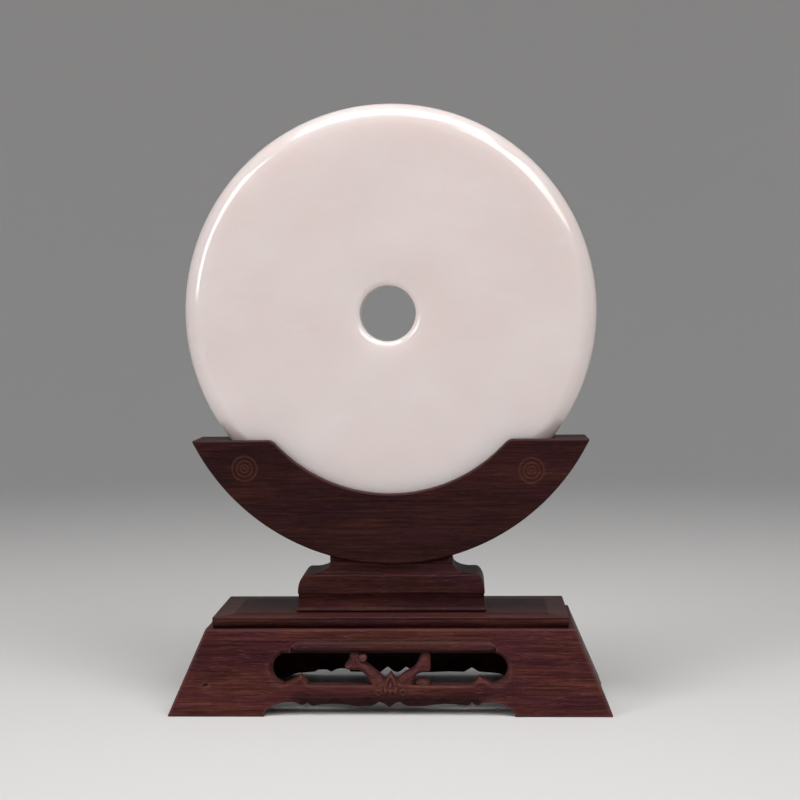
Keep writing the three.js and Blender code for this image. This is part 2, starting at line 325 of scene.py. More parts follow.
def cradle_under(x, inset):
    """Height of the outer arc at x, drawn in by inset, rounded into the tip."""
    arc = cradle_centre_z - np.sqrt((cradle_radius - inset) ** 2 - x ** 2)
    return np.where(x > tip_touch_x, tip_z - tip_half_height(x, inset), np.minimum(arc, tip_z))


def cradle_top(x, inset):
    """Height of the lip at x, drawn in by inset: the inner arc runs softly into the level ear."""
    inside = np.clip((lip_radius + inset) ** 2 - x ** 2, 0, None)
    lip = lip_centre_z - np.sqrt(inside)
    flat = ear_top - inset
    blend = np.clip(0.5 + 0.5 * (flat - lip) / lip_corner, 0, 1)
    top = flat * (1 - blend) + lip * blend - lip_corner * blend * (1 - blend)
    return np.where(x > tip_x, tip_z + tip_half_height(x, inset), top)


def groove_floor(x):
    """Height of the groove's floor at x, or of the ear where the groove has run out."""
    floor = disc_centre.z - np.sqrt(groove_radius ** 2 - x ** 2)
    return np.minimum(floor, cradle_top(x, 0))


def carved_rings(x, z, radii):
    """Depth cut at (x, z): a rounded channel along each circle, and a small pit in the middle."""
    away = np.minimum(*(np.hypot(x - ring_x, z - ring_z) for ring_x, ring_z in ring_places))
    depth = sum(np.exp(-((away - radius) / ring_width) ** 2) for radius in radii)
    return ring_depth * (depth + np.exp(-(away / dot_radius) ** 2) * (len(radii) > 1))


def cradle_slices():
    """Grid of upright slices across the board, from ear to ear.

    Each slice is one loop in Y and Z: up the front, over the lip, down, along and up the groove,
    over the back lip, down the back and under. Its heights are the arcs' heights at that x, and
    an arris is a quarter circle drawn in from both faces. At the tips the faces draw in as well.
    The slices stand closest together where the rings are cut.
    """
    dense = np.arange(60.5, 77.6, 0.3) * MM
    middle = np.arange(0, dense[0], 1.5 * MM)
    tip = tip_x + ear_tip_round * np.sin(np.linspace(0, 1.48, 8))
    outer = np.concatenate([np.arange(dense[-1] + 0.8 * MM, tip_x - 0.4 * MM, 0.9 * MM), tip])
    half = np.concatenate([middle[1:], dense, outer])
    x = np.concatenate([-half[::-1], [0], half])[:, None]
    across = np.abs(x)
    turn = np.linspace(0, math.pi / 2, 6)[None, :]
    room = np.clip((cradle_top(across, 0) - cradle_under(across, 0)) / (3 * cradle_arris), 0, 1)
    arris = cradle_arris * room
    past = np.clip((across - tip_x) / ear_tip_round, 0, 1)
    face = -cradle_half + cradle_arris * (1 - np.sqrt(1 - past ** 2))
    foot_y = face + arris * (1 - np.sin(turn))
    foot_z = cradle_under(across, arris * (1 - np.cos(turn)))
    head_y = face + arris * (1 - np.cos(turn))
    head_z = cradle_top(across, arris * (1 - np.sin(turn)))
    rows = np.linspace(0, 1, 104)[None, 1:-1]
    front_z = foot_z[:, -1:] * (1 - rows) + head_z[:, :1] * rows
    front_y = face + carved_rings(x, front_z, ring_radii)
    floor = groove_floor(across)
    lip = cradle_top(across, 0)
    ease = np.minimum(groove_arris, (lip - floor) / 2)
    inner_y = -groove_half - groove_arris + groove_arris * np.sin(turn) + 0 * x
    inner_z = lip - ease * (1 - np.cos(turn))
    wall = np.linspace(0, 1, 12)[None, 1:]
    wall_z = (lip - ease) * (1 - wall) + floor * wall
    wall_y = np.full_like(wall_z, -groove_half)
    bed_y = np.linspace(-1, 0, 5)[None, 1:] * groove_half + 0 * x
    bed_z = floor + 0 * bed_y
    back_rows = np.linspace(0, 1, 66)[None, 1:-1]
    back_z = foot_z[:, -1:] * (1 - back_rows) + head_z[:, :1] * back_rows
    back_y = -face - carved_rings(x, back_z, ring_radii[:1])
    under_y = np.linspace(0, 1, 9)[None, 1:-1] * foot_y[:, :1]
    under_z = cradle_under(across, 0) + 0 * under_y
    half_y = np.concatenate([head_y, inner_y, wall_y, bed_y], 1)
    half_z = np.concatenate([head_z, inner_z, wall_z, bed_z], 1)
    y = np.concatenate([foot_y, front_y, half_y, -half_y[:, -2::-1], back_y[:, ::-1],
                        -foot_y[:, ::-1], -under_y[:, ::-1], 0 * x, under_y], 1)
    z = np.concatenate([foot_z, front_z, half_z, half_z[:, -2::-1], back_z[:, ::-1],
                        foot_z[:, ::-1], under_z[:, ::-1], cradle_under(across, 0), under_z], 1)
    return np.stack([x + 0 * y, y, z], -1)


def stack_faces(grid):
    """Faces of closed rings in a row, with the two end rings closed by one flat face each."""
    along, around = grid.shape[:2]
    first = np.arange(around)[None, ::-1]
    last = np.arange(around)[None, :] + (along - 1) * around
    return [grid_faces(along, around), first, last]


def weld(piece, distance):
    """Joins points of a piece that lie closer together than distance and turns faces outwards."""
    shell = bmesh.new()
    shell.from_mesh(piece.data)
    bmesh.ops.remove_doubles(shell, verts=shell.verts, dist=distance)
    bmesh.ops.dissolve_degenerate(shell, edges=shell.edges, dist=distance / 10)
    bmesh.ops.recalc_face_normals(shell, faces=shell.faces)
    shell.to_mesh(piece.data)
    shell.free()


def hardwood(name, along, start, tone, ring_mark=False):
    """Dark reddish hardwood: plum and russet patches, streaks and fibres along the grain, fine
    dark pores and pale flecks.

    along is the axis of the grain and start moves the pattern, so that no two boards look cut
    from one place. tone lightens or darkens it. The attribute worn pales the wood on edges and
    rises, partly as wear and partly as painted highlight; hollow paints it darker in creases and
    recesses as painted shade; and with ring_mark, cut pales it along the cut rings.
    """
    material, place = open_material(name)

    def size(length, width):
        """Sizes of a pattern drawn out along the grain."""
        sizes = [width, width, width]
        sizes[along] = length
        return sizes

    def tint(*colour):
        """A colour lightened or darkened by tone."""
        return tuple(part * tone for part in colour)

    bands = place.noise(size(120, 13), 2, start)
    patches = place.noise(size(46, 10), 1, start[::-1]).between(0.40, 0.62)
    streaks = place.noise(size(30, 1.15), 3, start, 0.55)
    fibres = place.noise(size(8, 0.36), 2, start, 0.6)
    pores = place.noise(size(3.0, 0.24), 1, start).between(0.60, 0.70)
    flecks = place.noise(size(5.5, 0.5), 1, start[::-1]).between(0.63, 0.72)
    shade = bands * 0.45 + streaks * 0.75 + fibres * 0.45 - 0.325
    plum = place.node("ShaderNodeValToRGB", {"Fac": shade}, stops=[
        (0.34, tint(0.0130, 0.0026, 0.0034)), (0.50, tint(0.0250, 0.0054, 0.0068)),
        (0.64, tint(0.0400, 0.0095, 0.0100)), (0.80, tint(0.0680, 0.0210, 0.0170))])
    russet = place.node("ShaderNodeValToRGB", {"Fac": shade}, stops=[
        (0.34, tint(0.0145, 0.0030, 0.0022)), (0.50, tint(0.0290, 0.0072, 0.0056)),
        (0.64, tint(0.0440, 0.0125, 0.0088)), (0.80, tint(0.0740, 0.0260, 0.0170))])
    colour = patches.mixed(plum, russet)
    colour = (flecks * 0.3).mixed(colour, (*tint(0.085, 0.034, 0.028), 1))
    colour = (pores * 0.55).mixed(colour, (0.005, 0.0016, 0.0016, 1))
    worn = place.node("ShaderNodeAttribute", {}, output=2, attribute_name="worn")
    hollow = place.node("ShaderNodeAttribute", {}, output=2, attribute_name="hollow")
    # Painted highlight, partly wear: the wood is painted paler on edges and rises.
    colour = (worn * 0.30).mixed(colour, (*tint(0.120, 0.052, 0.046), 1))
    # Painted shade: the wood is painted near black in creases and recesses.
    colour = (hollow * 0.72).mixed(colour, (0.005, 0.0012, 0.0010, 1))
    if ring_mark:
        cut = place.node("ShaderNodeAttribute", {}, output=2, attribute_name="cut")
        colour = (cut * 0.48).mixed(colour, (0.135, 0.038, 0.020, 1))
    relief = fibres * 0.5 + streaks * 0.6 - pores * 0.7
    surface = place.node("ShaderNodeBump", {"Height": relief, "Strength": 0.5, "Distance": 0.10 * MM})
    satin = 0.42 + (streaks - 0.5) * 0.22 + pores * 0.2 - worn * 0.07 + hollow * 0.15
    return finish_material(
        material, place, Base_Color=colour, Roughness=satin, Normal=surface, IOR=1.20)


cradle_grid = cradle_slices()
ring_cut = carved_rings(cradle_grid[..., 0], cradle_grid[..., 2], ring_radii) / ring_depth
ring_cut *= np.abs(np.abs(cradle_grid[..., 1]) - cradle_half) < ring_depth * 1.4
lip_gap = cradle_top(np.abs(cradle_grid[..., 0]), 0) - cradle_grid[..., 2]
on_arris = (lip_gap < cradle_arris * 0.9) & (np.abs(cradle_grid[..., 1]) > cradle_half - cradle_arris)
# Paler along the arrises of the lip and ears: partly wear, partly painted highlight.
lip_wear_and_highlight = 0.8
cradle = piece_from("crescent_cradle_board", cradle_grid, stack_faces(cradle_grid),
                    cut=ring_cut, worn=on_arris * lip_wear_and_highlight)
weld(cradle, 0.01 * MM)
cradle.data.materials.append(hardwood("cradle_hardwood", 0, (4, 2, 9), tone=1.06, ring_mark=True))
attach(cradle, "root")
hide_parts("crescent_cradle")

# Neck block: a moulded block of the same hardwood between cradle and top board, run on all four
# sides with a flared foot, a waist, a quarter round and a wide cove. Its top is cut to the
# crescent and glued to it.
neck_low, neck_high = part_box("neck_block")
neck_top = Vector((29.6, 11.8)) * MM
neck_ledge = Vector((40.6, 14.2)) * MM
neck_round = Vector((45.0, 16.4)) * MM
neck_waist = Vector((44.7, 15.9)) * MM
neck_foot = Vector((neck_high.x, neck_high.y))
neck_ledge_z = 61.8 * MM
neck_round_z = 53.0 * MM
neck_flare_z = 47.8 * MM
neck_cove_up = 4.6 * MM
neck_corner = 0.5 * MM
saddle_radius = cradle_radius + 0.3 * MM


def soft_rectangle(half_x, half_y, corner, side=26, bend=5):
    """Rows of a rectangle's outline with round corners, one for each pair of half sizes.

    Straight sides are evenly spaced points and each corner is a quarter circle.
    """
    quarter = np.linspace(0, math.pi / 2, bend)
    run = np.linspace(-1, 1, side)[1:-1]
    x, y = [], []
    for turn, (sx, sy) in enumerate(((1, 1), (-1, 1), (-1, -1), (1, -1))):
        angle = quarter + turn * math.pi / 2
        x.append(sx * (half_x - corner) + corner * np.cos(angle))
        y.append(sy * (half_y - corner) + corner * np.sin(angle))
        if turn % 2 == 0:
            x.append(-sx * run * (half_x - corner))
            y.append(sy * half_y + 0 * run)
        else:
            x.append(sx * half_x + 0 * run)
            y.append(-sy * run * (half_y - corner))
    return np.concatenate(x, 1), np.concatenate(y, 1)


def stacked(profile, corner, top=None):
    """A moulding: rounded rectangles stacked as the profile's rows (half x, half y, height) say.

    At both ends the last rectangle shrinks nearly to nothing. top may bend heights down to a
    surface over x.
    """
    half_x, half_y, height = (np.array(column)[:, None] for column in zip(*profile))
    x, y = soft_rectangle(half_x, half_y, corner)
    z = height + 0 * x
    inward = np.array([0.985, 0.8, 0.5, 0.2, 0.02])[:, None]
    x = np.concatenate([inward[::-1] * x[:1], x, inward * x[-1:]])
    y = np.concatenate([inward[::-1] * y[:1], y, inward * y[-1:]])
    z = np.concatenate([np.repeat(z[:1], 5, 0), z, np.repeat(z[-1:], 5, 0)])
    if top is not None:
        z = top(x, z)
    return np.stack([x, y, z], -1)


def neck_profile():
    """Rows (half x, half y, height) from foot to saddle.

    The foot flares out of the waist, a small step ends the waist, the quarter round turns in to
    the arris of the wide cove, and the cove runs into the upright part.
    """
    quarter = np.linspace(0, math.pi / 2, 12)
    arris = 0.35 * MM
    rows = [(neck_foot.x - arris, neck_foot.y - arris, neck_low.z)]
    foot_z = neck_low.z + 2 * arris
    flare = neck_waist - neck_foot
    rows += [(neck_foot.x + flare.x * math.sin(a), neck_foot.y + flare.y * math.sin(a),
              foot_z + (neck_flare_z - foot_z) * (1 - math.cos(a)))
             for a in np.linspace(0, math.pi / 2, 7)]
    rows += [(neck_waist.x, neck_waist.y, neck_round_z - 0.5 * MM),
             (neck_round.x - 0.1 * MM, neck_round.y - 0.15 * MM, neck_round_z - 0.3 * MM)]
    span = neck_round - neck_ledge
    rise = neck_ledge_z - neck_round_z
    rows += [(neck_ledge.x + span.x * math.cos(a), neck_ledge.y + span.y * math.cos(a),
              neck_round_z + rise * math.sin(a)) for a in quarter]
    cove = neck_ledge - neck_top - Vector((0.4, 0.3)) * MM
    rows += [(neck_top.x + cove.x * (1 - math.sin(a)), neck_top.y + cove.y * (1 - math.sin(a)),
              neck_ledge_z + neck_cove_up * (1 - math.cos(a))) for a in quarter]
    rows += [(neck_top.x, neck_top.y, neck_high.z - 0.2 * MM), (neck_top.x, neck_top.y, neck_high.z)]
    return rows


def saddle(x, z):
    """The lesser of z and the height at x of the crescent's outer arc, 0.3 mm further out."""
    arc = cradle_centre_z - np.sqrt(saddle_radius ** 2 - x ** 2)
    return np.minimum(z, arc)


neck_grid = stacked(neck_profile(), neck_corner, saddle)
neck = piece_from("moulded_neck_block", neck_grid, stack_faces(neck_grid))
weld(neck, 0.005 * MM)
neck.data.materials.append(hardwood("neck_hardwood", 0, (1, 7, 3), tone=1.48))
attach(neck, "root")
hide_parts("neck_block")

# Top board: a thin board of the same hardwood with eased edges, glued on the base. Its underside
# steps in a little, a fine line is run along its edge, and its top field is raised a little.
board_low, board_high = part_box("top_board")
board_edge_z = 40.5 * MM
board_step = 0.3 * MM
board_arris = 0.7 * MM
board_field = 9.2 * MM


def board_profile():
    """Rows (half x, half y, height): stepped underside, edge with a fine line under its eased
    arris, a low border and the step up to the field."""
    arris = np.linspace(0, math.pi / 2, 7)
    under = 0.35 * MM
    border = board_high.z - 0.3 * MM
    line_in = 0.28 * MM
    rows = [(-board_step, board_low.z), (-board_step, board_edge_z - 0.1 * MM),
            (-board_step + 0.1 * MM, board_edge_z),
            (-under, board_edge_z), (0, board_edge_z + under), (0, border - 1.35 * MM),
            (-line_in, border - 1.15 * MM), (-line_in, border - 0.95 * MM), (0, border - 0.8 * MM)]
    rows += [(-board_arris * (1 - math.cos(a)), border - board_arris * (1 - math.sin(a)))
             for a in arris]
    rows += [(-board_field, border), (-board_field - 0.35 * MM, board_high.z - 0.04 * MM),
             (-board_field - 0.6 * MM, board_high.z)]
    return [(board_high.x + out, board_high.y + out, height) for out, height in rows]


board_grid = stacked(board_profile(), 0.8 * MM)
# Paler along the top's eased edge: partly wear, partly painted highlight.
board_edge = np.abs(board_grid[..., 2] - board_high.z + 0.45 * MM) < 0.25 * MM
top_board = piece_from("stand_top_board", board_grid, stack_faces(board_grid), worn=board_edge * 0.5)
top_board.data.materials.append(hardwood("top_board_hardwood", 0, (8, 5, 1), tone=1.4))
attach(top_board, "root")
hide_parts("top_board")

# Front and back boards: each is one hardwood board with its two feet, pierced by a long window
# and carved with two stems, leaf tips, a palmette and a rolled bead over the window. They lean in
# to the top board, and the end boards are glued between them. Carving sizes are millimetres.
apron_low, apron_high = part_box("front_apron")
apron_foot_half = apron_high.x
apron_height = apron_high.z
apron_top_half = 87.4 * MM
apron_foot_y = -apron_low.y
apron_lean = (apron_foot_y - 32.5 * MM) / apron_height
apron_slope = (apron_foot_half - apron_top_half) / apron_height
apron_thick = 7.0
carving_back = 6.0
window_half = 55.2
window_low = 14.2
window_top = 27.7
bead_x = 1.6
bead_z = 30.9
bead_radius = 2.1
bead_half = 48.4
wave_start, wave_length, wave_z, wave_rise = 10.4, 14.7, 7.1, 1.3
palm_x = 0.6
scroll_z = 10.7
curl_x, curl_z, curl_wide, curl_high = 15.6, 14.0, 3.6, 2.5
pearl_x, pearl_z, pearl_radius = -12.4, 25.7, 1.85
pit_x, pit_z, pit_cos, pit_sin = -86.4, 13.7, 0.94, 0.34
# Painted highlight: a thin pale line low on the left foot's face, where its lower edge catches the
# light.
foot_glint_x, foot_glint_z, foot_glint_half, foot_glint_strength = -91.5, 5.6, 8.2, 0.7


def away_from(outline, x, z):
    """Distance of every point (x, z) to a closed outline, negative inside.

    The nearest of all straight pieces gives the distance, and an odd number of pieces crossed
    on the way to +X means inside.
    """
    ends = np.asarray(outline, float)
    ax, az = ends[:, 0], ends[:, 1]
    bx, bz = np.roll(ax, -1), np.roll(az, -1)
    px, pz = x[..., None], z[..., None]
    ex, ez = bx - ax, bz - az
    share = np.clip(((px - ax) * ex + (pz - az) * ez) / np.maximum(ex ** 2 + ez ** 2, 1e-9), 0, 1)
    near = np.min(np.hypot(px - ax - share * ex, pz - az - share * ez), -1)
    straddles = (az > pz) != (bz > pz)
    crossing = ax + (pz - az) * ex / np.where(ez == 0, 1e-9, ez)
    inside = (straddles & (px < crossing)).sum(-1) % 2 == 1
    return np.where(inside, -near, near)


def bend(*points, steps=8):
    """A smooth route through start, pull, end, pull, end ...: quadratic curves joined."""
    route = [points[0]]
    u = np.linspace(0, 1, steps + 1)[1:, None]
    for start, pull, end in zip(points[0::2], points[1::2], points[2::2]):
        start, pull, end = (np.array(p, float) for p in (start, pull, end))
        route += list((1 - u) ** 2 * start + 2 * u * (1 - u) * pull + u ** 2 * end)
    return [tuple(p) for p in route]


def both_sides(right):
    """A closed outline from its right half, listed from the lower middle to the upper middle."""
    return list(right) + [(-x, z) for x, z in reversed(right) if x > 1e-6]


def front_edge():
    """Lower edge of the front board, right foot to left: each half has the pendant tip, two
    scallops, a notch and the foot's quarter ellipse."""
    foot_x, foot_z = 46, 6.3
    waves = bend((0, 3.2), (1.6, 5.2), (4.7, 6.2), (7.2, 4.2), (9.2, 4.1), (13, 3.9), (17, 4.2),
                 (22, 5.1), (27, 5.1), (32, 5.1), (35.3, 4.1), (37.6, 4.1), (38.5, 6.0), (39.4, 4.4),
                 (41.7, 4.7), (43.6, foot_z), (foot_x, foot_z), steps=5)
    quarter = np.linspace(math.pi / 2, 0, 12)[1:]
    right = waves + [(foot_x + 12.4 * math.cos(a), foot_z * math.sin(a)) for a in quarter]
    return right[::-1] + [(-x, z) for x, z in right[1:]]


def back_edge():
    """Lower edge of the back board, right foot to left: cut lower and sharper, and one scallop on
    the left is cut deeper than on the right."""
    right = [(0, 2.3), (2.0, 3.2), (4.7, 5.6), (9, 2.2), (17, 2.4), (27, 2.8), (34.6, 2.6), (38.5, 5.1),
             (42.4, 2.6), (48, 2.2), (53, 1.6), (56, 0)]
    left = [(-2.0, 3.2), (-4.7, 5.6), (-9, 2.2), (-20, 2.6), (-24.2, 2.7), (-24.8, 4.3), (-29, 4.6),
            (-31.4, 4.0), (-34, 2.6), (-36.4, 3.9), (-40.4, 3.9), (-43, 2.6), (-48, 2.2), (-53, 1.6),
            (-56, 0)]
    return right[::-1] + left


def board_outline(edge):
    """Outline of a whole board over its lower edge, pierced window aside."""
    foot, top, height = apron_foot_half / MM, apron_top_half / MM, apron_height / MM
    return [*edge, (-foot, 0), (-top, height), (top, height), (foot, 0)]


def window_outline():
    """The long window: level above, its ends half circles, dipped a little below in the middle."""
    radius = (window_top - window_low) / 2
    middle = (window_top + window_low) / 2
    turn = np.linspace(-math.pi / 2, math.pi / 2, 16)
    end_x = window_half - radius
    end = [(end_x + radius * math.cos(a), middle + radius * math.sin(a)) for a in turn]
    return both_sides([(33, window_low - 0.5), (37, window_low - 0.4)] + end)


def left_stem():
    """The left stem drops from the upper rail, swells to a tongue and narrows to its foot."""
    outer = bend((-18.9, 29.5), (-18.8, 27), (-19.0, 25), (-19.8, 23.6), (-21.0, 22.5), (-21.7, 20.8),
                 (-20.0, 20.2), (-17.6, 19.8), (-15.0, 20.0), (-12.6, 19.6), (-10.8, 17.2),
                 (-9.6, 15.2), (-8.5, 13.0), (-8.2, 12.2), (-8.0, 11.0))
    inner = bend((-2.4, 11.0), (-2.2, 14.0), (-2.4, 16.2), (-3.6, 18.0), (-5.4, 19.1), (-7.4, 20.6),
                 (-9.3, 22.0), (-11.6, 23.2), (-12.6, 24.9), (-14.2, 27.0), (-14.6, 29.5))
    return outer + inner


def right_stem():
    """The right stem is a little wider, and its tongue is cut off square."""
    outer = bend((19.3, 29.5), (19.3, 26), (19.3, 23.0), (19.5, 20.6), (19.0, 19.6), (17.4, 18.9),
                 (16.0, 19.0), (14.4, 18.8), (13.0, 18.2), (11.6, 17.4), (11.4, 14.0), (11.4, 12.4),
                 (11.4, 11.0))
    inner = bend((3.6, 11.0), (3.4, 14.2), (3.9, 16.3), (5.8, 18.6), (8.8, 20.0), (11.0, 20.6),
                 (12.1, 22.0), (13.4, 23.8), (14.1, 25.8), (15.0, 27.4), (15.4, 29.5))
    return outer + inner


def palmette():
    """The palmette between the stems' feet: a low leaf, its shoulders hollow, its tip pointed."""
    return bend((-9.0, 11.2), (-6.4, 13.8), (-4.4, 14.4), (-3.2, 15.2), (-2.2, 16.2), (-0.8, 17.5),
                (0.5, 18.9), (1.7, 17.5), (3.3, 16.2), (4.4, 15.2), (6.2, 14.4), (8.6, 13.4),
                (10.5, 11.2))


def leaf_outline(x, root, tip, half):
    """A pointed leaf: its sides leave the root upright and curve in to the tip."""
    pull = (root + tip) / 2 + 0.6
    return bend((x - half, root), (x - half, pull), (x, tip), (x + half, pull), (x + half, root))


def rail_leaves():
    """The two leaves near the window's ends: pointed, with hollow sides, the longer one outwards."""
    left = bend((-52.0, 12.2), (-48.6, 14.6), (-45.6, 15.9), (-43.0, 17.0), (-41.3, 18.4),
                (-40.4, 17.0), (-39.2, 15.8), (-38.0, 14.6), (-37.0, 12.4))
    right = bend((37.4, 12.4), (39.2, 14.4), (40.6, 15.7), (41.4, 16.6), (42.2, 17.8), (43.2, 16.7),
                 (45.4, 15.8), (48.0, 14.6), (51.0, 12.2))
    return left, right


def rounded_and(a, b, radius):
    """Where both are inside: the greater of two distances, its ridge rounded off."""
    both = np.hypot(np.maximum(a + radius, 0), np.maximum(b + radius, 0)) - radius
    return np.where((a > -radius) & (b > -radius), both, np.maximum(a, b))


def soft_or(a, b, width):
    """Where either is inside: the lesser of two distances, its valley filled over width."""
    blend = np.clip(0.5 + 0.5 * (b - a) / width, 0, 1)
    return b * (1 - blend) + a * blend - width * blend * (1 - blend)


def domed(inside, radius):
    """Depth of a skin that rolls down over the last radius before its outline."""
    short = np.clip(radius - inside, 0, radius)
    return radius - np.sqrt(radius ** 2 - short ** 2)


def hump(value, centre, width):
    """A bell over value: 1 at its centre, fading over width."""
    return np.exp(-((value - centre) / width) ** 2)


def front_skin(x, z, window):
    """How far the carved face lies behind the board's plane at (x, z), in millimetres.

    The bead is half a round, with a set-back band under it and a fine line over it, and thins to
    points at its ends. A faint roll and a bevel go round the window's ends; window is the
    distance from its outline. The lower rail turns down to the window, is cut back below a wavy
    line and turns under. There is one small slanting pit in the left foot.
    """
    share = np.sqrt(np.clip((bead_half - np.abs(x - bead_x)) / 3, 0, 1))
    radius = bead_radius * share + 0.05
    skin = 0.4 * hump(z, bead_z + radius + 0.2, 0.4) * share
    skin += 1.5 * np.clip((bead_z - radius + 0.5 - z) / 0.6, 0, 1) * share * (z > window_low + 8)
    skin -= 1.2 * np.sqrt(np.clip(1 - ((z - bead_z) / radius) ** 2, 0, 1)) * share
    skin -= 0.2 * hump(window, 1.6, 0.8) * np.clip((np.abs(x) - 44) / 6, 0, 1)
    over_rail = np.clip(1 - np.abs(x) / 58, 0, 1) ** 0.3 * (z < window_low + 1)
    skin += 0.7 * over_rail * np.clip((z - 11.8) / 3.0, 0, 1.2) ** 2
    reach = np.abs(x) - wave_start
    wave = wave_z + wave_rise * np.cos(reach * 2 * math.pi / wave_length) - 0.03 * reach
    cut_back = np.clip((wave - z) / 1.5 + 0.5, 0, 1)
    skin += 0.8 * cut_back ** 2 * (3 - 2 * cut_back) * np.clip((44 - np.abs(x)) / 6, 0, 1)
    along = (x - pit_x) * pit_cos + (z - pit_z) * pit_sin
    across = (z - pit_z) * pit_cos - (x - pit_x) * pit_sin
    skin += 1.3 * np.exp(-(along / 1.25) ** 2 - (across / 0.6) ** 2)
    skin += 1.6 * np.clip((10.5 - z) / 6, 0, 1) ** 2 * np.clip((49 - np.abs(x)) / 8, 0, 1)
    return skin + 1.6 * np.clip(1 - window / 3.4, 0, 1) ** 2 * np.clip((np.abs(x) - 46) / 5, 0, 1)


def shade_in_recess(x, z):
    """Painted shade, 0 to 1, where the carving lies in shadow: under the bead and low on the lower
    rail.
    """
    beside_bead = (z > window_top - 0.5) * (np.abs(x - bead_x) < bead_half)
    under_bead = np.clip((bead_z + 0.2 - z) / 2.4, 0, 1) * beside_bead
    low_rail = np.clip((11.8 - z) / 4.2, 0, 1) * np.clip((48 - np.abs(x)) / 7, 0, 1)
    return np.maximum(0.75 * under_bead, low_rail)


def carved_solid(x, depth, z, edge):
    """Distance field of a board with the given lower edge, negative in the wood, in millimetres.

    Every part is an outline in X and Z given a front skin and a back: rails and feet, stems,
    leaves, palmette with its arch, ribs, petals and scroll rings, and volute. The pearl is a
    ball with a dimple, on a short post. Parts join with filled valleys.
    """
    flat_x, flat_z = x[:, 0, :], z[:, 0, :]

    def relief(outline_distance, skin, back, ease=0.7):
        """An outline cut from skin to back, its arrises eased."""
        slab = np.maximum(skin[:, None, :] - depth, depth - back)
        return rounded_and(outline_distance[:, None, :] + 0 * depth, slab, ease)

    def raised(solid, inside, height, roll, valley, ease=0.4):
        """solid joined with an outline that rolls up to height over the board's plane."""
        form = relief(inside, domed(-inside, roll) - height, carving_back, ease)
        return soft_or(solid, form, valley)

    window = away_from(window_outline(), flat_x, flat_z)
    wood = rounded_and(away_from(board_outline(edge), flat_x, flat_z), -window, 0.3)
    solid = relief(wood, front_skin(flat_x, flat_z, window), apron_thick)
    for outline in (left_stem(), right_stem()):
        stem = away_from(outline, flat_x, flat_z)
        stem_skin = 0.2 + domed(-stem, 2.4) + 0.16 * hump(-stem, 1.3, 0.35)
        solid = soft_or(solid, relief(stem, stem_skin, carving_back), 0.7)
    for outline in rail_leaves():
        solid = raised(solid, away_from(outline, flat_x, flat_z), -0.1, 1.3, 0.5)
    palm = away_from(palmette(), flat_x, flat_z)
    ribs = sum(hump(flat_x, rib + 0.02 * (flat_z - 13) * (rib - palm_x), 0.42) for rib in (-4.7, 5.9))
    palm_skin = domed(-palm, 1.2) + 0.1 - 0.45 * ribs * hump(flat_z, 14, 2.2)
    solid = soft_or(solid, relief(palm, palm_skin, carving_back), 0.4)
    arch = away_from(leaf_outline(palm_x, 10.6, 19.4, 3.3), flat_x, flat_z)
    arch_skin = (-0.75 + domed(-arch, 0.8) + 0.75 * hump(-arch, 1.75, 0.6)
                 - 0.2 * hump(flat_x, palm_x, 0.5))
    solid = soft_or(solid, relief(arch, arch_skin, carving_back, 0.3), 0.25)
    for x_petal, low in ((-1.7, 10.0), (0.5, 9.5), (2.8, 10.0)):
        petal = np.hypot((flat_x - x_petal) * 1.25, (flat_z - low - 1.1) * 0.75) - 1.0
        solid = raised(solid, petal, 1.0, 1.0, 0.25, 0.3)
    for x_scroll in (-5.0, 6.3):
        ring = np.hypot(flat_x - x_scroll, flat_z - scroll_z)
        ring_skin = 0.1 - 0.8 * hump(ring, 1.1, 0.5) + 0.3 * hump(ring, 0, 0.5)
        solid = soft_or(solid, relief(ring - 1.7, ring_skin, carving_back, 0.3), 0.3)
    turn = curl_high * (np.hypot((flat_x - curl_x) / curl_wide, (flat_z - curl_z) / curl_high) - 1)
    solid = soft_or(solid, relief(turn, domed(-turn, 2.2) + 0.5, carving_back, 0.4), 0.2)
    pearl = np.sqrt((x - pearl_x) ** 2 + (depth - 1.2) ** 2 + (z - pearl_z) ** 2) - pearl_radius
    dimple = 0.75 - np.sqrt((x - pearl_x) ** 2 + (depth + 1.0) ** 2 + (z - pearl_z + 0.2) ** 2)
    post = np.maximum(np.hypot(x - pearl_x, z - pearl_z) - 1.2,
                      np.maximum(1.4 - depth, depth - carving_back))
    return soft_or(solid, soft_or(np.maximum(pearl, dimple), post, 0.3), 0.4)


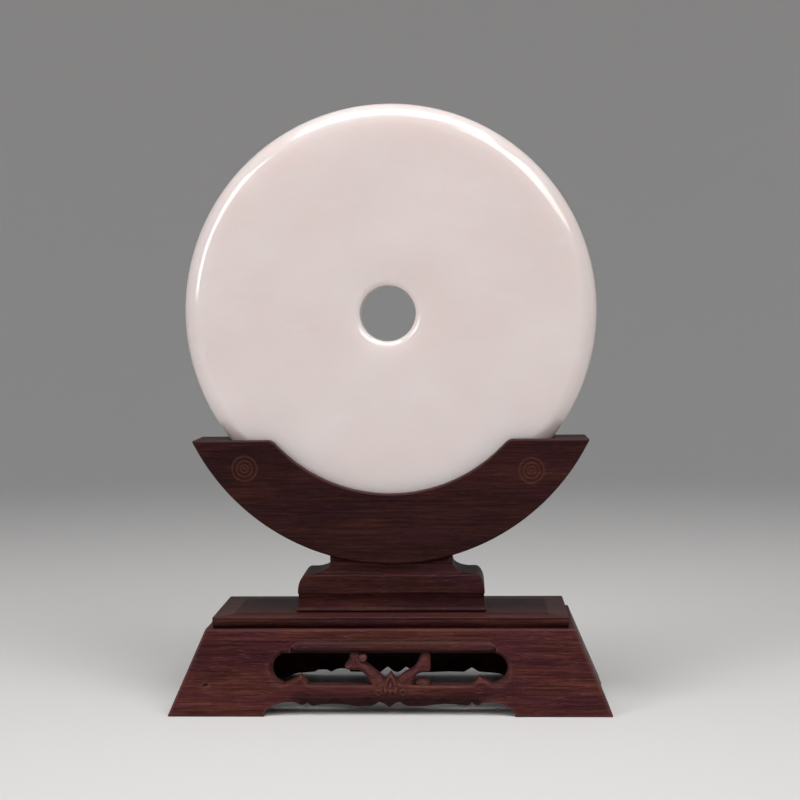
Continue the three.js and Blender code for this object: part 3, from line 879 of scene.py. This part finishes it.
def net_over(field, xs, ys, zs):
    """Closed surface where the field passes through nought: its points and its quads.

    Every cell that it crosses gets one point, the mean of the crossings on the cell's edges, and
    every crossed edge gets the quad between its four cells.
    """
    inside = field < 0
    axes = (xs, ys, zs)
    cells = tuple(n - 1 for n in field.shape)
    total = np.zeros(cells + (3,))
    count = np.zeros(cells)
    crossings = []
    for axis in range(3):
        low = [slice(None)] * 3
        high = [slice(None)] * 3
        low[axis], high[axis] = slice(None, -1), slice(1, None)
        a, b = field[tuple(low)], field[tuple(high)]
        crossed = inside[tuple(low)] != inside[tuple(high)]
        share = np.where(crossed, a / np.where(crossed, a - b, 1), 0)
        places = np.stack(np.meshgrid(*[c[:-1] if i == axis else c for i, c in enumerate(axes)],
                                      indexing="ij"), -1)
        steps = np.diff(axes[axis]).reshape([-1 if i == axis else 1 for i in range(3)])
        places[..., axis] += share * steps
        others = [i for i in range(3) if i != axis]
        for first in (0, 1):
            for second in (0, 1):
                window = [slice(None)] * 3
                window[others[0]] = slice(first, first + cells[others[0]])
                window[others[1]] = slice(second, second + cells[others[1]])
                hit = crossed[tuple(window)]
                total += places[tuple(window)] * hit[..., None]
                count += hit
        crossings.append((crossed, inside[tuple(low)], others))
    used = count > 0
    number = np.full(cells, -1)
    number[used] = np.arange(used.sum())
    faces = []
    for axis, (crossed, leaves, others) in enumerate(crossings):
        trimmed = [slice(None)] * 3
        trimmed[others[0]] = trimmed[others[1]] = slice(1, -1)
        at = np.argwhere(crossed[tuple(trimmed)])
        outward = leaves[tuple(trimmed)][tuple(at.T)]
        corners = []
        for first, second in ((0, 0), (1, 0), (1, 1), (0, 1)):
            cell = at.copy()
            cell[:, others[0]] += first
            cell[:, others[1]] += second
            corners.append(number[tuple(cell.T)])
        quads = np.stack(corners, 1)
        flip = outward if axis == 1 else ~outward
        quads[flip] = quads[flip][:, ::-1]
        faces.append(quads)
    return total[used] / count[used][:, None], np.concatenate(faces)


def worn_and_hollow(points, quads):
    """For each point, how far it lies before and behind its neighbours' mean, from 0 to 1."""
    sides = np.concatenate([quads[:, [0, 1]], quads[:, [1, 2]], quads[:, [2, 3]], quads[:, [3, 0]]])
    sides = np.concatenate([sides, sides[:, ::-1]])
    mean = np.zeros_like(points)
    np.add.at(mean, sides[:, 0], points[sides[:, 1]])
    mean /= np.bincount(sides[:, 0], minlength=len(points))[:, None]
    outward = np.zeros_like(points)
    one, two = points[quads[:, 2]] - points[quads[:, 0]], points[quads[:, 3]] - points[quads[:, 1]]
    across = np.cross(one, two)
    for corner in range(4):
        np.add.at(outward, quads[:, corner], across)
    outward /= np.maximum(np.linalg.norm(outward, axis=1, keepdims=True), 1e-12)
    bulge = np.einsum("ij,ij->i", points - mean, outward)
    full = 0.08
    return np.clip(bulge / full, 0, 1), np.clip(-bulge / full, 0, 1)


def apron_steps():
    """Grid lines of a board in X, depth and Z: fine over the carving, wider over the feet and
    in the middle of the board's thickness."""
    step, wide_step = 0.42, 0.55
    fine = np.arange(step / 2, 60, step)
    wide = np.arange(fine[-1] + wide_step, apron_foot_half / MM + 2 * wide_step, wide_step)
    half = np.concatenate([fine, wide])
    depth = np.concatenate([np.arange(-2.2, 3, step), np.arange(3.4, 5.2, 0.85),
                            np.arange(5.5, 8.2, step)])
    return np.concatenate([-half[::-1], half]), depth, np.arange(-0.6, apron_height / MM + 1, step)


apron_axes = apron_steps()
apron_places = np.meshgrid(*apron_axes, indexing="ij")
for facing, name, node, start, edge in (
        (1, "carved_front", "front_apron", (2, 3, 5), front_edge()),
        (-1, "carved_back", "back_apron", (6, 1, 8), back_edge())):
    apron_points, apron_quads = net_over(carved_solid(*apron_places, edge), *apron_axes)
    # Paler on edges and rises, partly wear and partly painted highlight; darker in creases and recesses
    # as painted shade.
    worn, hollow = worn_and_hollow(apron_points, apron_quads)
    point_x, point_depth, point_z = apron_points.T
    # Painted highlight low on the left foot.
    foot_glint_band = (np.abs(point_x - foot_glint_x) < foot_glint_half) & (point_depth < 1)
    # Painted highlight: the pearl's face is painted pale.
    pearl_highlight = (np.hypot(point_x - pearl_x, point_z - pearl_z) < 1.9) & (point_depth < 1.2)
    worn = np.maximum(worn, foot_glint_strength * hump(point_z, foot_glint_z, 0.4) * foot_glint_band)
    worn = np.maximum(worn, pearl_highlight)
    # Painted shade under the bead and low on the lower rail.
    hollow = np.maximum(hollow, shade_in_recess(point_x, point_z))
    apron_points[:, 1] += apron_lean * point_z - apron_foot_y / MM
    apron = piece_from(name + "_board", apron_points * (MM, facing * MM, MM), [apron_quads],
                       worn=worn, hollow=hollow)
    # tone 2.12 paints these boards much paler than the cradle of the same wood: partly painted light,
    # for the light and sheen the leaning boards catch.
    apron.data.materials.append(hardwood(name + "_hardwood", 0, start, tone=2.12))
    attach(apron, "root")
    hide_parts(node)

# End boards: two plain boards of the same hardwood, one at each end, with a low arch cut under
# each. They slope in to the top board and are glued between the front and back boards.
_, end_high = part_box("right_end_board")
end_thick = 7.0
end_foot_half = end_high.y / MM + 0.25
end_top_half = end_foot_half - apron_lean * apron_height / MM
end_arch_half, end_arch_rise = 21.0, 5.5


def end_solid(depth, y, z):
    """Distance field of an end board, upright: a trapezium less an arch, given thickness."""
    quarter = np.linspace(math.pi / 2, 0, 14)
    right = [(end_arch_half * math.cos(a), end_arch_rise * math.sin(a)) for a in quarter]
    right += [(end_foot_half, 0), (end_top_half, apron_height / MM)]
    outline = away_from(both_sides(right), y[0], z[0])
    slab = np.maximum(-end_thick - depth, depth)
    return rounded_and(outline[None] + 0 * depth, slab, 0.35)


end_ys = np.arange(-39.93, 40.0, 0.66)
end_depths = np.concatenate([np.arange(-8.2, -6, 0.4), np.arange(-5, -1.9, 1.0),
                             np.arange(-1.4, 1, 0.4)])
end_zs = np.arange(-0.8, apron_height / MM + 1, 0.6)
end_field = end_solid(*np.meshgrid(end_depths, end_ys, end_zs, indexing="ij"))
end_points, end_quads = net_over(end_field, end_depths, end_ys, end_zs)
# The end boards are painted paler on their edges, partly wear and partly painted highlight.
end_worn, _ = worn_and_hollow(end_points, end_quads)
end_points[:, 0] += apron_foot_half / MM - apron_slope * end_points[:, 2]
for side, name, start in ((1, "right_end", (1, 9, 4)), (-1, "left_end", (7, 2, 6))):
    end_board = piece_from(name + "_plain_board", end_points * (side * MM, MM, MM), [end_quads],
                           worn=end_worn)
    # tone 1.8 paints the end boards paler than the cradle of the same wood, partly as painted light on
    # the leaning base.
    end_board.data.materials.append(hardwood(name + "_hardwood", 1, start, tone=1.8))
    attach(end_board, "root")
    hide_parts(name + "_board")

# Floor and light: a plain pale floor that curves up all round like a studio cove, a soft light
# at each side in front, the left one tall and narrow, a wide one overhead, and an even pale
# surround.
cove_flat = 1.1
cove_radius = 1.1
floor_angle = np.linspace(0, 2 * math.pi, 96, endpoint=False)
cove_turn = np.linspace(0, math.pi / 2, 16)
cove_out = np.concatenate([[0.001, 0.4, 1.0], cove_flat + cove_radius * np.sin(cove_turn)])
cove_up = np.concatenate([[0, 0, 0], cove_radius * (1 - np.cos(cove_turn))])
floor_grid = np.stack([cove_out[:, None] * np.cos(floor_angle),
                       cove_out[:, None] * np.sin(floor_angle),
                       cove_up[:, None] + 0 * floor_angle], -1)
floor_mesh = bpy.data.meshes.new("pale_floor")
floor_mesh.from_pydata(floor_grid.reshape(-1, 3), [], [
    *grid_faces(*floor_grid.shape[:2]).tolist(), list(range(len(floor_angle)))[::-1]])
floor_mesh.polygons.foreach_set("use_smooth", np.ones(len(floor_mesh.polygons), bool))
floor = bpy.data.objects.new("pale_floor", floor_mesh)
bpy.context.scene.collection.objects.link(floor)
floor_material, floor_place = open_material("matt_pale_floor")
floor_tone = floor_place.noise((900, 900, 900), 1).mixed(
    (0.79, 0.775, 0.76, 1), (0.82, 0.805, 0.79, 1))
floor_mesh.materials.append(finish_material(
    floor_material, floor_place, Base_Color=floor_tone, Roughness=0.75))


def soft_light(name, place, size, power):
    """A rectangular light that looks at the disc's centre, its second side upright."""
    data = bpy.data.lights.new(name, "AREA")
    data.shape = "RECTANGLE"
    data.size, data.size_y = size
    data.energy = power
    light = bpy.data.objects.new(name, data)
    light.location = place
    light.visible_camera = False
    light.rotation_euler = (disc_centre - Vector(place)).to_track_quat("-Z", "Y").to_euler()
    bpy.context.scene.collection.objects.link(light)


soft_light("left_soft_light", (-0.93, -0.78, 0.66), (0.44, 0.80), 4.9)
soft_light("right_soft_light", (0.74, -0.82, 0.98), (0.92, 0.66), 6.2)
soft_light("overhead_soft_light", (0.0, -0.22, 0.90), (0.80, 0.40), 4.6)
surround = bpy.data.worlds.new("surround")
surround.use_nodes = True
surround.node_tree.nodes["Background"].inputs["Color"].default_value = (0.92, 0.94, 1.0, 1)
surround.node_tree.nodes["Background"].inputs["Strength"].default_value = 0.12
bpy.context.scene.world = surround
bpy.context.scene.view_settings.view_transform = "Standard"
